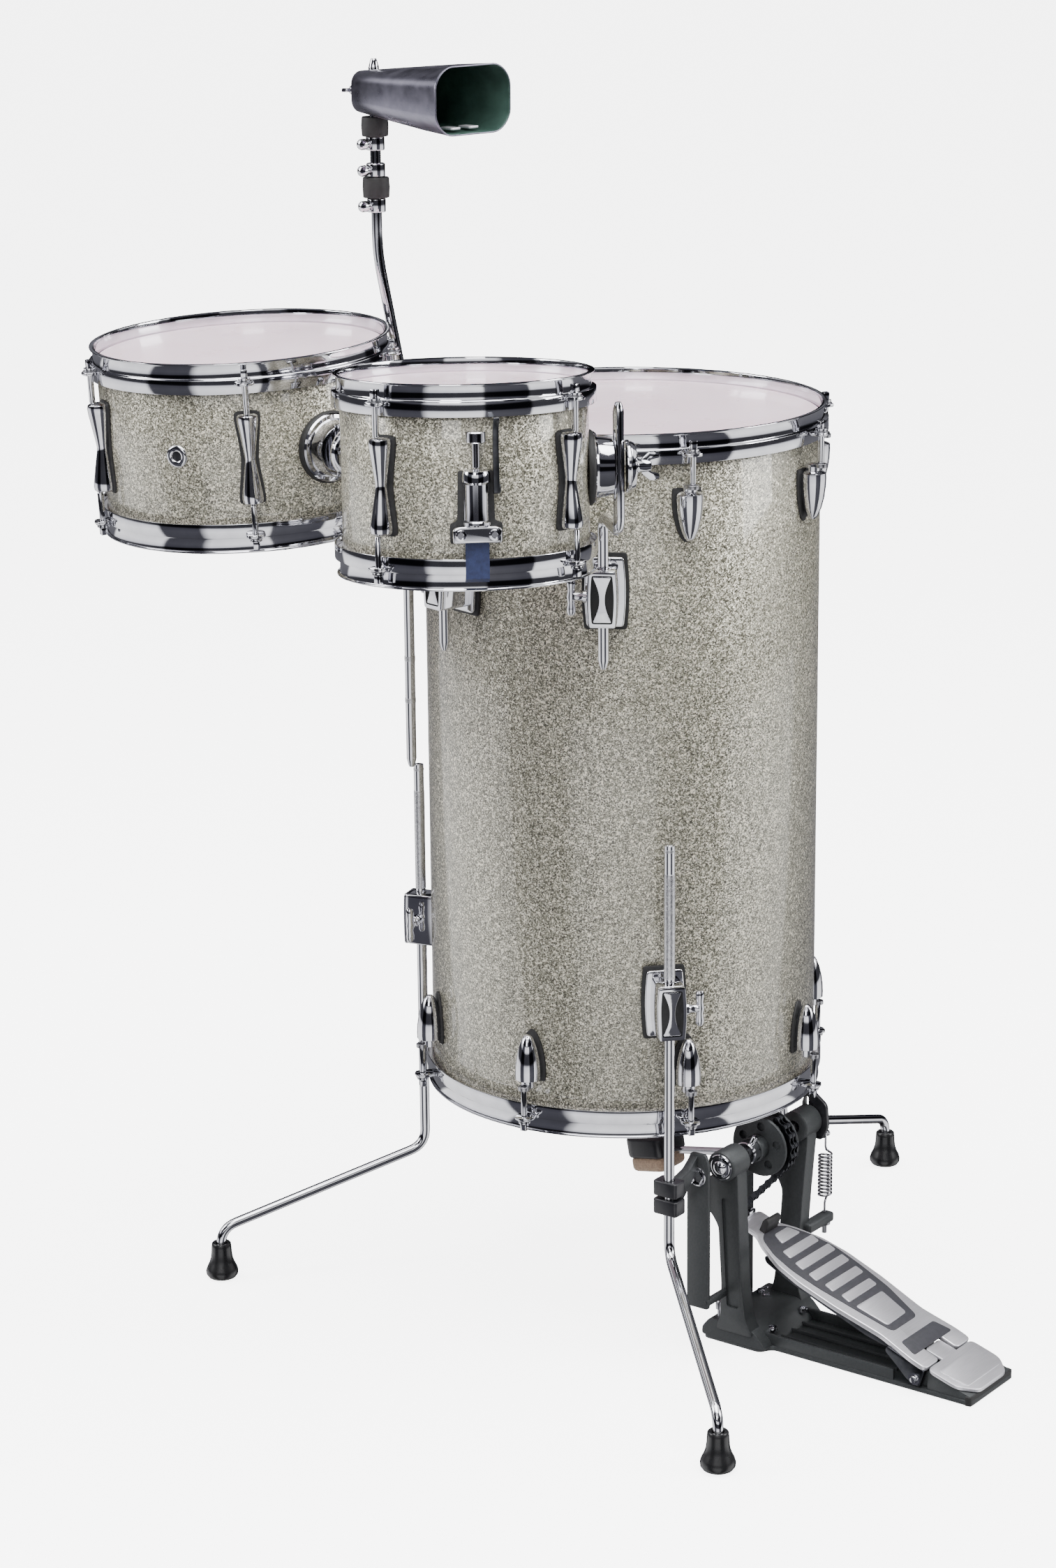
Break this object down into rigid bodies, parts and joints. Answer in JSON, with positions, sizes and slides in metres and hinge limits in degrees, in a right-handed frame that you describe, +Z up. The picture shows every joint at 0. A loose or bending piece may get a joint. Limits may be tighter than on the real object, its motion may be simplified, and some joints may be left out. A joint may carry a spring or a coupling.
{
  "type": "cocktail drum kit",
  "caption": "Stand-up cocktail drum kit: a tall floor drum on legs with a kick pedal under it, small side drums on arms, a snare strainer and a cowbell.",
  "frame": {"origin": "on the floor, at the middle of the kit's bounding box in plan", "axes": "+Z up along the floor drum's axis; the player stands at -Y, and the pedal's toe points to +Y"},
  "size_m": [0.8483, 0.8031, 1.149],
  "materials": {
    "sparkle_wrap": "sparkle lacquer wrap over a wooden shell",
    "chrome": "polished chrome plate",
    "drumhead_film": "translucent coated film",
    "black_rubber": "moulded rubber",
    "dark_casting": "dark powder-coated casting",
    "brushed_alloy": "satin brushed alloy",
    "satin_steel": "satin grey steel",
    "spring_steel": "bright drawn steel",
    "beater_felt": "pressed felt and black plastic",
    "black_plastic": "moulded black plastic"
  },
  "bodies": {
    "floor_drum": {"floor_shell": "sparkle_wrap", "floor_top_hoop": "chrome", "floor_bottom_hoop": "chrome", "floor_batter_head": "drumhead_film", "floor_kick_head": "drumhead_film", "right_arm_bracket": "chrome", "left_arm_bracket": "chrome", "bell_arm_bracket": "chrome", "front_leg_bracket": "chrome", "left_leg_bracket": "chrome", "right_leg_bracket": "chrome", "pedal_frame": "dark_casting", "heel_plate": "brushed_alloy", "clamp_plate": "dark_casting", "chain": "spring_steel", "return_spring": "spring_steel"},
    "front_leg": {"front_leg": "chrome", "front_foot": "black_rubber"},
    "front_leg_screw": {"front_leg_screw": "chrome"},
    "left_leg": {"left_leg": "chrome", "left_foot": "black_rubber"},
    "left_leg_screw": {"left_leg_screw": "chrome"},
    "right_leg": {"right_leg": "chrome", "right_foot": "black_rubber"},
    "right_leg_screw": {"right_leg_screw": "chrome"},
    "right_arm_screw": {"right_arm_screw": "chrome"},
    "left_arm_screw": {"left_arm_screw": "chrome"},
    "bell_rod_screw": {"bell_rod_screw": "chrome"},
    "right_arm": {"right_arm": "chrome"},
    "right_tom_clamp": {"right_clamp_cap": "chrome"},
    "right_tom": {"right_tom_shell": "sparkle_wrap", "right_tom_top_hoop": "chrome", "right_tom_bottom_hoop": "chrome", "right_tom_batter_head": "drumhead_film", "right_snare_head": "drumhead_film", "strainer_body": "chrome"},
    "right_wing_nut": {"right_wing_nut": "chrome"},
    "left_arm": {"left_arm": "chrome"},
    "left_tom_clamp": {"left_clamp_cap": "chrome"},
    "left_tom": {"left_tom_shell": "sparkle_wrap", "left_tom_top_hoop": "chrome", "left_tom_bottom_hoop": "chrome", "left_tom_batter_head": "drumhead_film", "left_resonant_head": "drumhead_film"},
    "left_wing_nut": {"left_wing_nut": "chrome"},
    "strainer_lever": {"strainer_lever": "dark_casting"},
    "snare_wires": {"snare_wires": "spring_steel"},
    "strainer_knob": {"strainer_knob": "chrome"},
    "bell_rod": {"bell_rod": "chrome", "rod_collar_upper": "chrome", "rod_collar_middle": "chrome", "rod_collar_lower": "chrome"},
    "cowbell": {"cowbell": "satin_steel"},
    "bell_screw": {"bell_screw": "chrome"},
    "footboard": {"footboard": "brushed_alloy"},
    "cam_shaft": {"cam_shaft": "spring_steel", "spring_rocker": "black_plastic", "beater": "beater_felt"},
    "leg_clamp_screw": {"leg_clamp_screw": "chrome"}
  },
  "joints": [
    {"name": "front_leg_height", "type": "slide", "parent": "floor_drum", "child": "front_leg", "axis": [0, 0, 1], "range_m": [-0.06, 0.008]},
    {"name": "front_leg_screw_turn", "type": "hinge", "parent": "floor_drum", "child": "front_leg_screw", "pos_m": [-0.13282, -0.13858, 0.343], "axis": [0.7254, -0.6884, 0], "continuous": true},
    {"name": "left_leg_height", "type": "slide", "parent": "floor_drum", "child": "left_leg", "axis": [0, 0, 1], "range_m": [-0.08, 0.05]},
    {"name": "left_leg_screw_turn", "type": "hinge", "parent": "floor_drum", "child": "left_leg_screw", "pos_m": [-0.0452, 0.20645, 0.343], "axis": [-0.9659, -0.2588, 0], "continuous": true},
    {"name": "right_leg_height", "type": "slide", "parent": "floor_drum", "child": "right_leg", "axis": [0, 0, 1], "range_m": [-0.08, 0.05]},
    {"name": "right_leg_screw_turn", "type": "hinge", "parent": "floor_drum", "child": "right_leg_screw", "pos_m": [0.20465, -0.0434, 0.343], "axis": [0.2588, 0.9659, 0], "continuous": true},
    {"name": "right_arm_screw_turn", "type": "hinge", "parent": "floor_drum", "child": "right_arm_screw", "pos_m": [-0.16817, -0.09414, 0.715], "axis": [0.5075, -0.8616, 0], "continuous": true},
    {"name": "left_arm_screw_turn", "type": "hinge", "parent": "floor_drum", "child": "left_arm_screw", "pos_m": [-0.1899, 0.06048, 0.715], "axis": [-0.2504, -0.9681, 0], "continuous": true},
    {"name": "bell_rod_screw_turn", "type": "hinge", "parent": "floor_drum", "child": "bell_rod_screw", "pos_m": [-0.06217, 0.2011, 0.715], "axis": [-0.9397, -0.342, 0], "continuous": true},
    {"name": "right_arm_height", "type": "slide", "parent": "floor_drum", "child": "right_arm", "axis": [0, 0, 1], "range_m": [-0.03, 0.05]},
    {"name": "right_tom_swivel", "type": "hinge", "parent": "right_arm", "child": "right_tom_clamp", "pos_m": [-0.21669, -0.14468, 0.84], "axis": [0.0389, 0.035, 0.9986], "range_deg": [0, 25]},
    {"name": "right_tom_tilt", "type": "hinge", "parent": "right_tom_clamp", "child": "right_tom", "pos_m": [-0.23342, -0.1261, 0.84], "axis": [0.6691, -0.7431, 0], "range_deg": [-3, 3]},
    {"name": "right_wing_nut_turn", "type": "hinge", "parent": "right_tom_clamp", "child": "right_wing_nut", "pos_m": [-0.20331, -0.15954, 0.84], "axis": [0.6691, -0.7431, 0], "continuous": true},
    {"name": "left_arm_height", "type": "slide", "parent": "floor_drum", "child": "left_arm", "axis": [0, 0, 1], "range_m": [-0.03, 0]},
    {"name": "left_tom_swivel", "type": "hinge", "parent": "left_arm", "child": "left_tom_clamp", "pos_m": [-0.25824, 0.10958, 0.834], "axis": [-0.0506, 0.0135, 0.9986], "range_deg": [0, 25]},
    {"name": "left_tom_tilt", "type": "hinge", "parent": "left_tom_clamp", "child": "left_tom", "pos_m": [-0.25177, 0.13373, 0.834], "axis": [-0.2588, -0.9659, 0], "range_deg": [-4, 0]},
    {"name": "left_wing_nut_turn", "type": "hinge", "parent": "left_tom_clamp", "child": "left_wing_nut", "pos_m": [-0.26342, 0.09026, 0.834], "axis": [-0.2588, -0.9659, 0], "continuous": true},
    {"name": "strainer_lever_throw", "type": "hinge", "parent": "right_tom", "child": "strainer_lever", "pos_m": [-0.37203, -0.13573, 0.84574], "axis": [0.6691, -0.7431, 0], "range_deg": [0, 82]},
    {"name": "snare_drop", "type": "slide", "parent": "right_tom", "child": "snare_wires", "axis": [-0.0389, -0.035, -0.9986], "range_m": [0, 0.0028]},
    {"name": "strainer_knob_turn", "type": "hinge", "parent": "right_tom", "child": "strainer_knob", "pos_m": [-0.38231, -0.12345, 0.87575], "axis": [0.0389, 0.035, 0.9986], "continuous": true},
    {"name": "bell_rod_height", "type": "slide", "parent": "floor_drum", "child": "bell_rod", "axis": [0, 0, 1], "range_m": [-0.05, 0.06]},
    {"name": "cowbell_swivel", "type": "hinge", "parent": "bell_rod", "child": "cowbell", "pos_m": [-0.0724, 0.2214, 1.118], "axis": [0, 0, 1], "continuous": true},
    {"name": "bell_screw_turn", "type": "hinge", "parent": "cowbell", "child": "bell_screw", "pos_m": [-0.06893, 0.2411, 1.118], "axis": [0.1736, 0.9848, 0], "continuous": true},
    {"name": "footboard_press", "type": "hinge", "parent": "floor_drum", "child": "footboard", "pos_m": [-0.0084, -0.3446, 0.014], "axis": [1, 0, 0], "range_deg": [-2.85, 0], "stiffness_Nm_per_rad": 20, "springref_deg": 4.58, "deforming": ["chain"]},
    {"name": "beater_swing", "type": "hinge", "parent": "floor_drum", "child": "cam_shaft", "pos_m": [-0.0084, -0.1606, 0.184], "axis": [1, 0, 0], "range_deg": [0, 22.8], "deforming": ["return_spring"]},
    {"name": "leg_clamp_screw_turn", "type": "hinge", "parent": "floor_drum", "child": "leg_clamp_screw", "pos_m": [-0.11682, -0.12958, 0.157], "axis": [1, 0, 0], "continuous": true}
  ],
  "couplings": [
    {"joint": "strainer_lever_throw", "follows": "snare_drop", "rad_per_m": 500},
    {"joint": "beater_swing", "follows": "footboard_press", "ratio": -8}
  ]
}
